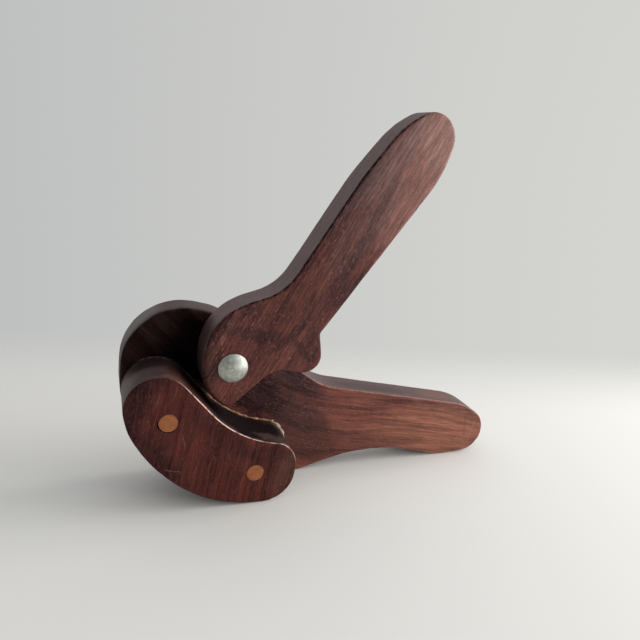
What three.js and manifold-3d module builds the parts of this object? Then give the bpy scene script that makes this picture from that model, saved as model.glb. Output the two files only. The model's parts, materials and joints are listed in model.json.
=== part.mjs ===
// Hand-made rosewood lever nutcracker.
//
// A base board carries the round rear head, the body and the lower handle. A kidney-shaped
// jaw block is glued and dowelled to the board's front. A lever swings in front of the board
// on a metal rivet and cracks a nut between its underside and the jaw block's hollow top.
//
// Units are millimetres. +X runs along the lower handle, +Z is up and -Y is the front.
// Pieces are drawn round the rivet's axis, with the board's front face in the plane y = 0.
// The last section moves them so that the origin is the bottom centre of the whole object.

import * as THREE from 'three';
import { mergeVertices } from 'three/addons/utils/BufferGeometryUtils.js';
import Module from 'manifold-3d';

const wasm = await Module();
wasm.setup();

// ---------------------------------------------------------------------------
// Driving dimensions
// ---------------------------------------------------------------------------

const BOARD_THICKNESS = 19;
const JAW_THICKNESS = 25.7;
const LEVER_THICKNESS = 18;
const PIECE_GAP = 0.3;
const SPACER_THICKNESS = 0.6;
const EDGE_ROUND = 1.2;
const EDGE_STEPS = 2;
const ARC_STEPS = 5;

const DOWEL_RADIUS = 5;
const UPPER_DOWEL = [-31.3, -24.7];
const LOWER_DOWEL = [13.9, -57.6];
const DOWEL_SIDES = 48;

const SHANK_RADIUS = 3;
const HEAD_RADIUS = 7.6;
const HEAD_RIM = 0.5;
const HEAD_RISE = 1.9;
const PIP_RADIUS = 0.5;
const PIP_DEPTH = 0.3;
const TAIL_RADIUS = 5;
const TAIL_RIM = 0.4;
const TAIL_RISE = 1.2;
const DOME_STEPS = 6;
const WASHER_RADIUS = 8;
const REAR_WASHER_THICKNESS = 1.2;
const ROUND_SIDES = 48;

const RIVET_HEIGHT = 76;
const RIVET_TO_MIDDLE = 62.1;

// Outlines are corners [x, z, radius], seen from the front and measured from the rivet's
// axis. Each corner is rounded by its radius, and the stretches between them are straight.

// The board and the jaw block were sawn and sanded together along this lower left edge.
const SHARED_BOTTOM_CORNER = [-7.2, -76, 70];

const BOARD_CORNERS = [
  [-51.1, 31.9, 31],
  [-3.5, 22, 30],
  [58, -21.8, 43],
  [161.8, -40.7, 48],
  [177.1, -52.8, 15],
  [177.6, -74, 14],
  [146, -76.4, 45],
  [93.5, -63.6, 105],
  [47.5, -76, 34],
  SHARED_BOTTOM_CORNER,
  [-40, -47, 94],
  [-53.1, -22.5, 36],
];

const JAW_CORNERS = [
  [-56.6, 0.4, 16.5],
  [-28, -1, 15],
  [3, -36.3, 60],
  [28.5, -41.8, 7],
  [37.1, -48.4, 15.5],
  [34.9, -76, 17],
  SHARED_BOTTOM_CORNER,
  [-40, -48.4, 84],
  [-50.1, -28.8, 30],
];

const LEVER_CORNERS = [
  [-1.5, -23.2, 6],
  [-15.5, -11.5, 24.2],
  [-14.6, 23.5, 30],
  [6, 33.5, 40],
  [24.1, 39.1, 28],
  [58.2, 97, 120],
  [77.4, 123.5, 47],
  [113.5, 145.5, 13],
  [104, 102, 63],
  [45.2, 16.9, 3],
  [49, -6.7, 9],
  [21.6, -2, 11.5],
];

// Depths along Y, from the jaw block's front to the rivet's tail.
const JAW_BACK = -PIECE_GAP;
const JAW_FRONT = JAW_BACK - JAW_THICKNESS;
const SPACER_BACK = -PIECE_GAP;
const SPACER_FRONT = SPACER_BACK - SPACER_THICKNESS;
const LEVER_BACK = SPACER_FRONT - PIECE_GAP;
const LEVER_FRONT = LEVER_BACK - LEVER_THICKNESS;
const HEAD_SEAT = LEVER_FRONT - PIECE_GAP;
const REAR_WASHER_FRONT = BOARD_THICKNESS + PIECE_GAP;
const REAR_WASHER_BACK = REAR_WASHER_FRONT + REAR_WASHER_THICKNESS;
const TAIL_SEAT = REAR_WASHER_BACK + PIECE_GAP;
const TAIL_END = TAIL_SEAT + TAIL_RIM + TAIL_RISE;
const BORE_RADIUS = SHANK_RADIUS + PIECE_GAP;
const DOWEL_HOLE_RADIUS = DOWEL_RADIUS + PIECE_GAP;

// ---------------------------------------------------------------------------
// Materials
// ---------------------------------------------------------------------------

function material(color, roughness, metalness) {
  return new THREE.MeshStandardMaterial({ color, roughness, metalness });
}

const boardWood = material(0x6b3424, 0.5, 0);
const jawWood = material(0x5c2a20, 0.5, 0);
const leverWood = material(0x6a3225, 0.5, 0);
const dowelWood = material(0xc88748, 0.6, 0);
const rivetMetal = material(0xc9cac6, 0.35, 1);
const washerMetal = material(0xb4b5b2, 0.4, 1);

// ---------------------------------------------------------------------------
// Helpers
// ---------------------------------------------------------------------------

// A closed outline whose corners are rounded by tangent arcs.
function roundedOutline(corners) {
  const shape = new THREE.Shape();
  corners.forEach(([x, z, radius], i) => {
    const [beforeX, beforeZ] = corners.at(i - 1);
    const [afterX, afterZ] = corners[(i + 1) % corners.length];
    const corner = new THREE.Vector2(x, z);
    const toBefore = new THREE.Vector2(beforeX, beforeZ).sub(corner).normalize();
    const toAfter = new THREE.Vector2(afterX, afterZ).sub(corner).normalize();
    const halfAngle = Math.acos(toBefore.dot(toAfter)) / 2;
    const inward = toBefore.clone().add(toAfter).normalize();
    const centre = inward.multiplyScalar(radius / Math.sin(halfAngle)).add(corner);
    const reach = radius / Math.tan(halfAngle);
    const arcStart = toBefore.clone().multiplyScalar(reach).add(corner).sub(centre);
    const arcEnd = toAfter.clone().multiplyScalar(reach).add(corner).sub(centre);
    const clockwise = toBefore.cross(toAfter) > 0;
    shape.absarc(centre.x, centre.y, radius, arcStart.angle(), arcEnd.angle(), clockwise);
  });
  return shape;
}

// A piece sawn to an outline, from its front face to its back face, with eased edges.
function sawnBoard(corners, front, back) {
  const geometry = new THREE.ExtrudeGeometry(roundedOutline(corners), {
    depth: back - front - 2 * EDGE_ROUND,
    curveSegments: ARC_STEPS,
    bevelThickness: EDGE_ROUND,
    bevelSize: EDGE_ROUND,
    bevelOffset: -EDGE_ROUND,
    bevelSegments: EDGE_STEPS,
  });
  geometry.rotateX(Math.PI / 2);
  geometry.translate(0, back - EDGE_ROUND, 0);
  return geometry;
}

// A round bar along Y, centred on [x, z].
function roundBar([x, z], radius, front, back, sides) {
  const geometry = new THREE.CylinderGeometry(radius, radius, back - front, sides);
  geometry.translate(x, (front + back) / 2, z);
  return geometry;
}

// A flat ring round the rivet's axis.
function ring(inner, outer, front, back) {
  const profile = [
    [inner, front],
    [outer, front],
    [outer, back],
    [inner, back],
    [inner, front],
  ];
  return turned(profile);
}

// A turned piece round the rivet's axis, from [radius, y] points.
function turned(profile) {
  const points = profile.map(([radius, y]) => new THREE.Vector2(radius, y));
  return new THREE.LatheGeometry(points, ROUND_SIDES);
}

// Points [radius, y] of a shallow dome, from its rim in to the given inner radius.
function dome(rimRadius, rise, rimY, direction, innerRadius) {
  const sphere = (rimRadius ** 2 + rise ** 2) / (2 * rise);
  const points = [];
  for (let i = 0; i <= DOME_STEPS; i += 1) {
    const radius = THREE.MathUtils.lerp(rimRadius, innerRadius, i / DOME_STEPS);
    const height = Math.sqrt(sphere ** 2 - radius ** 2) - (sphere - rise);
    points.push([radius, rimY + direction * height]);
  }
  return points;
}

function toSolid(geometry) {
  const bare = geometry.index ? geometry.clone() : geometry;
  bare.deleteAttribute('normal');
  bare.deleteAttribute('uv');
  const merged = mergeVertices(bare, 1e-4);
  return new wasm.Manifold(new wasm.Mesh({
    numProp: 3,
    vertProperties: new Float32Array(merged.attributes.position.array),
    triVerts: new Uint32Array(merged.index.array),
  }));
}

function fromSolid(solid) {
  const mesh = solid.getMesh();
  const geometry = new THREE.BufferGeometry();
  geometry.setAttribute('position', new THREE.BufferAttribute(mesh.vertProperties, 3));
  geometry.setIndex(new THREE.BufferAttribute(mesh.triVerts, 1));
  geometry.computeVertexNormals();
  return geometry;
}

// A sawn piece after drilling holes [centre, radius, sides] straight through it along Y.
function drilled(geometry, front, back, holes) {
  let solid = toSolid(geometry);
  for (const [centre, radius, sides] of holes) {
    solid = solid.subtract(toSolid(roundBar(centre, radius, front - 1, back + 1, sides)));
  }
  return fromSolid(solid);
}

function piece(name, geometry, finish) {
  const mesh = new THREE.Mesh(geometry, finish);
  mesh.name = name;
  return mesh;
}

// ---------------------------------------------------------------------------
// Pieces
// ---------------------------------------------------------------------------

const RIVET_AXIS = [0, 0];
const RIVET_BORE = [RIVET_AXIS, BORE_RADIUS, ROUND_SIDES];
const DOWEL_HOLES = [
  [UPPER_DOWEL, DOWEL_HOLE_RADIUS, DOWEL_SIDES],
  [LOWER_DOWEL, DOWEL_HOLE_RADIUS, DOWEL_SIDES],
];

function baseBoard() {
  const board = sawnBoard(BOARD_CORNERS, 0, BOARD_THICKNESS);
  return drilled(board, 0, BOARD_THICKNESS, [RIVET_BORE, ...DOWEL_HOLES]);
}

function jawBlock() {
  const block = sawnBoard(JAW_CORNERS, JAW_FRONT, JAW_BACK);
  return drilled(block, JAW_FRONT, JAW_BACK, DOWEL_HOLES);
}

function lever() {
  const board = sawnBoard(LEVER_CORNERS, LEVER_FRONT, LEVER_BACK);
  return drilled(board, LEVER_FRONT, LEVER_BACK, [RIVET_BORE]);
}

// One rod of metal: a low domed head with a small centre pip, the shank, and the tail
// that was hammered over the rear washer.
function pivotRivet() {
  const headTop = HEAD_SEAT - HEAD_RIM - HEAD_RISE;
  return turned([
    [0, headTop + PIP_DEPTH],
    ...dome(HEAD_RADIUS, HEAD_RISE, HEAD_SEAT - HEAD_RIM, -1, PIP_RADIUS).reverse(),
    [HEAD_RADIUS, HEAD_SEAT],
    [SHANK_RADIUS, HEAD_SEAT],
    [SHANK_RADIUS, TAIL_SEAT],
    [TAIL_RADIUS, TAIL_SEAT],
    ...dome(TAIL_RADIUS, TAIL_RISE, TAIL_SEAT + TAIL_RIM, 1, 0),
  ]);
}

function dowel(centre) {
  return roundBar(centre, DOWEL_RADIUS, JAW_FRONT, BOARD_THICKNESS, DOWEL_SIDES);
}

// ---------------------------------------------------------------------------
// Assembly
// ---------------------------------------------------------------------------

const spacer = ring(BORE_RADIUS, WASHER_RADIUS, SPACER_FRONT, SPACER_BACK);
const rearWasher = ring(BORE_RADIUS, WASHER_RADIUS, REAR_WASHER_FRONT, REAR_WASHER_BACK);

const roundRivet = new THREE.Group();
roundRivet.add(
  piece('base_board', baseBoard(), boardWood),
  piece('jaw_block', jawBlock(), jawWood),
  piece('lever', lever(), leverWood),
  piece('upper_dowel', dowel(UPPER_DOWEL), dowelWood),
  piece('lower_dowel', dowel(LOWER_DOWEL), dowelWood.clone()),
  piece('pivot_rivet', pivotRivet(), rivetMetal),
  piece('spacer_washer', spacer, washerMetal),
  piece('rear_washer', rearWasher, washerMetal.clone()),
);
roundRivet.position.set(-RIVET_TO_MIDDLE, -(JAW_FRONT + TAIL_END) / 2, RIVET_HEIGHT);

const nutcracker = new THREE.Group();
nutcracker.add(roundRivet);

export default nutcracker;
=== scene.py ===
import json
import math

import bpy
import numpy as np
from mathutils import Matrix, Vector, noise
from mathutils.geometry import delaunay_2d_cdt


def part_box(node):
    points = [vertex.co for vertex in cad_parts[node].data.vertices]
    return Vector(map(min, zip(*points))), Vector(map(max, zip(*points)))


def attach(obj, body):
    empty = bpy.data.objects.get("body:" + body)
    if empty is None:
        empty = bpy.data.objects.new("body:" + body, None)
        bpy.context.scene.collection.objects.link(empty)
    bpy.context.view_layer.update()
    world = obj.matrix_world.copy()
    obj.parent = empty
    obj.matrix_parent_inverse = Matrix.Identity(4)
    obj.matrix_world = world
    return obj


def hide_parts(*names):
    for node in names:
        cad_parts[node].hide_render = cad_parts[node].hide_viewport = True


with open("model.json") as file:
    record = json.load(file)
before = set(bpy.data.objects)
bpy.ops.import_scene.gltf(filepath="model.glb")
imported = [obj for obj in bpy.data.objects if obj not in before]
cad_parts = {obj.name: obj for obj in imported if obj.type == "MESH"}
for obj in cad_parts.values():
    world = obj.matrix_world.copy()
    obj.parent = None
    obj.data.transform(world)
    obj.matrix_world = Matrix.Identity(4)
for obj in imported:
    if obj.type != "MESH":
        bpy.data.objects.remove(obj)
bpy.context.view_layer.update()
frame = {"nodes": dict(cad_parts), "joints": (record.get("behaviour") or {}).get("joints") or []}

# --------------------
# Places and sizes
# --------------------

MM = 0.001
PIVOT = Vector(frame["joints"][0]["pos_m"])
BOARD_FRONT, BOARD_BACK = (corner.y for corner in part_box("base_board"))
JAW_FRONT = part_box("jaw_block")[0].y
LEVER_FRONT, LEVER_BACK = (corner.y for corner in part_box("lever"))
RIVET_TOP, RIVET_TAIL = (corner.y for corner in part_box("pivot_rivet"))
WASHER_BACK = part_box("rear_washer")[1].y

# How finely the wooden pieces are meshed.
OUTLINE_STEP = 1.0 * MM
ROW_STEP = 3.0 * MM
CAP_STEP = 2.6 * MM
CAP_MARGIN = 0.55 * CAP_STEP
HOLE_MARGIN = 0.45 * CAP_STEP
WORN_BAND = 0.9 * MM
ROUND_STEPS = 5
HOLE_SIDES = 64
HOLE_ROWS = 6
CURVE_SAMPLES = 5
CAD_EDGE = 1.2 * MM
LEVEL_TOLERANCE = 0.02 * MM
MESH_TOLERANCE = 1e-5

# The radii that the wooden edges are rounded to, and how hand sanding varies them.
BOARD_ROUND = 1.1 * MM
HEAD_BACK_ROUND = 2.8 * MM
JAW_ROUND = 0.75 * MM
LEVER_ROUND = 1.2 * MM
LEVER_HEAD_ROUND = 2.6 * MM
LEVER_TIP_BACK_ROUND = 3.4 * MM
SEAM_ROUND = 0.12 * MM
SEAM_REACH = 2.0 * MM
ROUND_VARIATION = 0.2
ROUND_WAVE = 5 * MM
DENT_RADIUS = (0.7 * MM, 1.7 * MM)
DENT_DEPTH = (0.05 * MM, 0.16 * MM)
DENT_BLEND = 0.5 * MM
SAND_DEPTH = 0.16 * MM
SAND_WAVE = 24 * MM
SAND_CONTRAST = 1.6

# Rivet, washers and dowels.
SHANK_RADIUS = 3.0 * MM
BORE_RADIUS = 3.3 * MM
SWING_CLEARANCE = 0.05 * MM
TURNED_SIDES = 96
RIPPLE_WAVE = 2.5 * MM
PIN_SHRINK = 0.25 * MM
PIN_CLEARANCE = 0.04 * MM
UPPER_HOLE_SHIFT = np.array([-0.3, -0.2]) * MM
UPPER_HOLE_GROWTH = 0.1 * MM


def smooth_step(values, low, high):
    """0 at low and 1 at high, with a smooth rise between them."""
    share = np.clip((values - low) / (high - low), 0, 1)
    return share * share * (3 - 2 * share)


def centre_of(node):
    """The x and z of a round node's axis."""
    low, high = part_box(node)
    return np.array([(low.x + high.x) / 2, (low.z + high.z) / 2])


def radius_of(node):
    low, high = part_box(node)
    return (high.x - low.x) / 2


# --------------------
# Outlines
# --------------------

def cad_outline(node):
    """The outline of a sawn CAD piece just behind its eased front edge, in order round it."""
    mesh = frame["nodes"][node].data
    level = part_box(node)[0].y + CAD_EDGE
    keys = {}
    for vertex in mesh.vertices:
        if abs(vertex.co.y - level) < LEVEL_TOLERANCE:
            keys[vertex.index] = (round(vertex.co.x, 5), round(vertex.co.z, 5))
    neighbours = {}
    for edge in mesh.edges:
        first, second = edge.vertices
        if first in keys and second in keys and keys[first] != keys[second]:
            neighbours.setdefault(keys[first], set()).add(keys[second])
            neighbours.setdefault(keys[second], set()).add(keys[first])
    longest = []
    while neighbours:
        step = min(neighbours)
        loop = []
        while step is not None:
            loop.append(step)
            ahead = neighbours.pop(step) & neighbours.keys()
            step = min(ahead, default=None)
        if len(loop) > len(longest):
            longest = loop
    return np.array(longest)


def fair_curve(points, spacing):
    """Even points on a centripetal Catmull-Rom curve through a closed outline, anticlockwise."""
    x, z = points.T
    if np.sum(x * np.roll(z, -1) - np.roll(x, -1) * z) < 0:
        points = points[::-1]
    dense = []
    for i in range(len(points)):
        p0, p1, p2, p3 = (points[(i + k) % len(points)] for k in (-1, 0, 1, 2))
        d1, d2, d3 = (math.sqrt(np.linalg.norm(b - a)) for a, b in ((p0, p1), (p1, p2), (p2, p3)))
        tangent1 = d2 * ((p1 - p0) / d1 - (p2 - p0) / (d1 + d2) + (p2 - p1) / d2)
        tangent2 = d2 * ((p2 - p1) / d2 - (p3 - p1) / (d2 + d3) + (p3 - p2) / d3)
        steps = max(2, int(np.linalg.norm(p2 - p1) * CURVE_SAMPLES / spacing))
        for s in np.linspace(0, 1, steps, endpoint=False):
            dense.append(
                p1 * (2 * s**3 - 3 * s**2 + 1) + tangent1 * (s**3 - 2 * s**2 + s)
                + p2 * (3 * s**2 - 2 * s**3) + tangent2 * (s**3 - s**2)
            )
    dense = np.array(dense + dense[:1])
    walked = np.append(0, np.cumsum(np.linalg.norm(np.diff(dense, axis=0), axis=1)))
    count = int(walked[-1] / spacing)
    at = np.linspace(0, walked[-1], count, endpoint=False)
    return np.stack([np.interp(at, walked, dense[:, k]) for k in (0, 1)], axis=1)


def outward(points):
    """Unit normals of an anticlockwise closed curve."""
    ahead = np.roll(points, -2, axis=0) - np.roll(points, 2, axis=0)
    normals = np.stack([ahead[:, 1], -ahead[:, 0]], axis=1)
    return normals / np.linalg.norm(normals, axis=1)[:, None]


def inside(points, ring):
    """Which points lie inside a closed ring."""
    a, b = ring, np.roll(ring, -1, axis=0)
    px, pz = points[:, 0][:, None], points[:, 1][:, None]
    spans = (a[:, 1] > pz) != (b[:, 1] > pz)
    climb = np.where(a[:, 1] == b[:, 1], 1, b[:, 1] - a[:, 1])
    crossing = a[:, 0] + (pz - a[:, 1]) * (b[:, 0] - a[:, 0]) / climb
    return np.sum(spans & (px < crossing), axis=1) % 2 == 1


def distance_to(points, ring):
    """How far each point is from the nearest point of a ring."""
    return np.min(np.linalg.norm(points[:, None, :] - ring[None, :, :], axis=2), axis=1)


def circle(centre, radius):
    """A hole's rim, as HOLE_SIDES points."""
    angles = np.linspace(0, 2 * math.pi, HOLE_SIDES, endpoint=False)
    return centre + radius * np.stack([np.cos(angles), np.sin(angles)], axis=1)


def next_pairs(first, count):
    """Each index of a closed loop with the one after it."""
    return [(first + i, first + (i + 1) % count) for i in range(count)]


# --------------------
# Sawn wooden pieces
# --------------------

def new_piece(name, vertices, faces, sharp_edges=(), painted_edge=None):
    """A smooth-shaded mesh object, with the painted light and shade along its edges stored on its
    points.
    """
    mesh = bpy.data.meshes.new(name)
    mesh.from_pydata([tuple(v) for v in vertices], [], faces)
    mesh.validate()
    mesh.polygons.foreach_set("use_smooth", [True] * len(mesh.polygons))
    if len(sharp_edges):
        wanted = {tuple(sorted(edge)) for edge in sharp_edges}
        flags = [tuple(sorted(edge.vertices)) in wanted for edge in mesh.edges]
        mesh.attributes.new("sharp_edge", "BOOLEAN", "EDGE").data.foreach_set("value", flags)
    if painted_edge is not None:
        mesh.attributes.new("painted_edge", "FLOAT", "POINT").data.foreach_set("value", painted_edge)
    mesh.update()
    piece = bpy.data.objects.new(name, mesh)
    bpy.context.scene.collection.objects.link(piece)
    return piece


def sanded(place):
    """0 to 1, how deep the hand sanding has cut at a point."""
    wave = SAND_CONTRAST * noise.noise(place / SAND_WAVE)
    return 0.5 + 0.5 * max(-1, min(1, wave))


def cap_faces(ring, hole_rings, first_index, hole_indices, vertices, level, flip):
    """Fills a flat face inside its last ring, round its holes, with a fine lattice.

    Adds the lattice to vertices. Gives the new faces and how many vertices were added.
    """
    low, high = ring.min(axis=0), ring.max(axis=0)
    lattice = []
    row_height = CAP_STEP * math.sqrt(3) / 2
    for row, z in enumerate(np.arange(low[1], high[1], row_height)):
        for x in np.arange(low[0] + (row % 2) * CAP_STEP / 2, high[0], CAP_STEP):
            lattice.append((x, z))
    lattice = np.array(lattice)
    keep = inside(lattice, ring) & (distance_to(lattice, ring) > CAP_MARGIN)
    for hole in hole_rings:
        keep &= ~inside(lattice, hole) & (distance_to(lattice, hole) > HOLE_MARGIN)
    lattice = lattice[keep]
    points = np.concatenate([ring, *hole_rings, lattice])
    loops = []
    start = 0
    for loop in (ring, *hole_rings):
        loops += next_pairs(start, len(loop))
        start += len(loop)
    flat = [Vector(point / MM) for point in points]
    result = delaunay_2d_cdt(flat, loops, [], 0, MESH_TOLERANCE)
    source = [group[0] for group in result[3]]
    triangles = np.array([[source[i] for i in face] for face in result[2]])
    middles = points[triangles].mean(axis=1)
    wanted = inside(middles, ring)
    for hole in hole_rings:
        wanted &= ~inside(middles, hole)
    index = list(range(first_index, first_index + len(ring)))
    for indices in hole_indices:
        index += indices
    index += range(len(vertices), len(vertices) + len(lattice))
    vertices += [Vector((x, level, z)) for x, z in lattice]
    faces = []
    for triangle in triangles[wanted]:
        a, b, c = (index[i] for i in triangle)
        faces.append((a, c, b) if flip else (a, b, c))
    return faces, len(lattice)


def dented(vertices, directions, outline, front, dents, randomness):
    """Presses small seeded dents into the front edge."""
    places = randomness.choice(len(outline), dents, replace=False)
    radii = randomness.uniform(*DENT_RADIUS, dents)
    depths = randomness.uniform(*DENT_DEPTH, dents)
    grid = np.array(vertices)
    push = np.zeros(len(grid))
    for place, radius, depth in zip(places, radii, depths):
        centre = np.array([outline[place][0], front, outline[place][1]])
        reach = np.linalg.norm(grid - centre, axis=1) / (radius + DENT_BLEND)
        push = np.maximum(push, depth * np.clip(1 - reach**2, 0, 1))
    for i in np.nonzero(push)[0]:
        vertices[i] = vertices[i] - directions[i] * push[i]


def edge_rows(front, back, front_round, back_round):
    """The rows of points that run round a board, from its front face over both edges.

    Each is (how far in from the outline, y, how strongly the painted edge light and shade lie on
    the row, how far its outward direction has turned from the front), the first two as one
    number for each outline point.
    """
    flush = np.zeros(len(front_round))
    quarter = np.linspace(0, math.pi / 2, ROUND_STEPS + 1)
    rows = [(front_round + WORN_BAND, flush + front, 0.0, 0.0)]
    for angle in quarter:
        inset = front_round * (1 - math.sin(angle))
        level = front + front_round * (1 - math.cos(angle))
        rows.append((inset, level, math.sin(2 * angle), angle))
    start = front + front_round + WORN_BAND
    end = back - back_round - WORN_BAND
    middle_rows = max(2, round((back - front) / ROW_STEP) - 1)
    for share in np.linspace(0, 1, middle_rows + 2):
        rows.append((flush, start + share * (end - start), 0.0, math.pi / 2))
    for angle in quarter[::-1]:
        inset = back_round * (1 - math.sin(angle))
        level = back - back_round * (1 - math.cos(angle))
        rows.append((inset, level, math.sin(2 * angle), math.pi - angle))
    rows.append((back_round + WORN_BAND, flush + back, 0.0, math.pi))
    return rows


def sawn_piece(name, outline, front, back, front_round, back_round, holes, painted_edge_share, dents, seed):
    """A board sawn to an outline, its edges rounded over by hand, with through holes.

    front_round, back_round and painted_edge_share hold both edges' radii, and how strongly
    painted light and shade lie along them, at each outline point. holes are (centre, radius)
    pairs, and dents how many dents there are.
    """
    count = len(outline)
    normals = outward(outline)
    rows = edge_rows(front, back, front_round, back_round)
    vertices, directions, painted_edge = [], [], []
    for inset, level, row_edge_share, lean in rows:
        ring = outline - normals * inset[:, None]
        side = math.sin(lean)
        for i in range(count):
            vertices.append(Vector((ring[i, 0], level[i], ring[i, 1])))
            directions.append(Vector((normals[i, 0] * side, -math.cos(lean), normals[i, 1] * side)))
            painted_edge.append(row_edge_share * painted_edge_share[i])
    faces = []
    for row in range(len(rows) - 1):
        for a, b in next_pairs(row * count, count):
            faces.append((a, a + count, b + count, b))

    sharp = []
    hole_rings, front_holes, back_holes = [], [], []
    for centre, radius in holes:
        ring = circle(centre, radius)
        first = len(vertices)
        last = first + (HOLE_ROWS - 1) * HOLE_SIDES
        for depth in np.linspace(front, back, HOLE_ROWS):
            vertices += [Vector((x, depth, z)) for x, z in ring]
        for start in range(first, last, HOLE_SIDES):
            for a, b in next_pairs(start, HOLE_SIDES):
                faces.append((a, b, b + HOLE_SIDES, a + HOLE_SIDES))
        added = HOLE_ROWS * HOLE_SIDES
        directions += [Vector((0, 0, 0))] * added
        painted_edge += [0.0] * added
        front_holes.append(range(first, first + HOLE_SIDES))
        back_holes.append(range(last, last + HOLE_SIDES))
        sharp += next_pairs(first, HOLE_SIDES) + next_pairs(last, HOLE_SIDES)
        hole_rings.append(ring)

    last_row = (len(rows) - 1) * count
    for radii, first, hole_indices, level, facing in (
        (front_round, 0, front_holes, front, -1), (back_round, last_row, back_holes, back, 1),
    ):
        ring = outline - normals * (radii + WORN_BAND)[:, None]
        made, added = cap_faces(ring, hole_rings, first, hole_indices, vertices, level, facing > 0)
        faces += made
        directions += [Vector((0, facing, 0))] * added
        painted_edge += [0.0] * added

    for i, direction in enumerate(directions):
        vertices[i] = vertices[i] - direction * SAND_DEPTH * sanded(vertices[i])
    dented(vertices, directions, outline, front, dents, np.random.default_rng(seed))
    return new_piece(name, vertices, faces, sharp, painted_edge)


def uneven(radius, outline, seed):
    """An edge radius that wanders along the outline as hand sanding leaves it."""
    waves = [noise.noise(Vector((x, seed * MM, z)) / ROUND_WAVE) for x, z in outline]
    return radius * (1 + ROUND_VARIATION * np.array(waves))


def shared_round(outline, other, free_round):
    """An edge radius that shrinks to a fine seam where two outlines were sanded together."""
    apart = smooth_step(distance_to(outline, other), 0, SEAM_REACH)
    return SEAM_ROUND + (free_round - SEAM_ROUND) * apart


# --------------------
# Turned metal pieces and dowels
# --------------------

def turned(name, centre, profile, is_ring=False, ripple=0.0):
    """A piece turned on an axis along Y. profile is (radius, y) points from front to back.

    A ring's profile is closed. Any other piece is closed by a small flat face at each end.
    """
    vertices, faces = [], []
    for radius, y in profile:
        for i in range(TURNED_SIDES):
            angle = 2 * math.pi * i / TURNED_SIDES
            x = centre[0] + radius * math.cos(angle)
            z = centre[1] + radius * math.sin(angle)
            place = Vector((x, y, z))
            place.y += ripple * noise.noise(place / RIPPLE_WAVE)
            vertices.append(place)
    rows = len(profile)
    for row in range(rows if is_ring else rows - 1):
        here = next_pairs(row * TURNED_SIDES, TURNED_SIDES)
        ahead = next_pairs((row + 1) % rows * TURNED_SIDES, TURNED_SIDES)
        faces += [(a, d, c, b) for (a, b), (d, c) in zip(here, ahead)]
    if not is_ring:
        last = (rows - 1) * TURNED_SIDES
        faces.append(tuple(range(TURNED_SIDES)))
        faces.append(tuple(range(last + TURNED_SIDES - 1, last - 1, -1)))
    return new_piece(name, vertices, faces)


def dome(rim_radius, rim_y, crown_y, steps):
    """Profile points of a spherical dome, from near its crown to its rim."""
    height = abs(crown_y - rim_y)
    toward = math.copysign(1, crown_y - rim_y)
    sphere = (rim_radius**2 + height**2) / (2 * height)
    edge = math.asin(rim_radius / sphere)
    points = []
    for k in range(1, steps + 1):
        angle = edge * k / steps
        drop = sphere * (1 - math.cos(angle))
        points.append((sphere * math.sin(angle), rim_y + toward * (height - drop)))
    return points


# --------------------
# Materials
# --------------------

def tone(red, green, blue):
    """A linear colour from 0 to 255 display values."""
    def linear(value):
        share = value / 255
        return share / 12.92 if share <= 0.04045 else ((share + 0.055) / 1.055) ** 2.4
    return (linear(red), linear(green), linear(blue), 1.0)


PORE_TONE = tone(30, 14, 16)
FLECK_TONE = tone(170, 116, 102)
SPECK_TONE = tone(178, 140, 130)
SCRATCH_TONE = tone(150, 104, 92)


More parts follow.
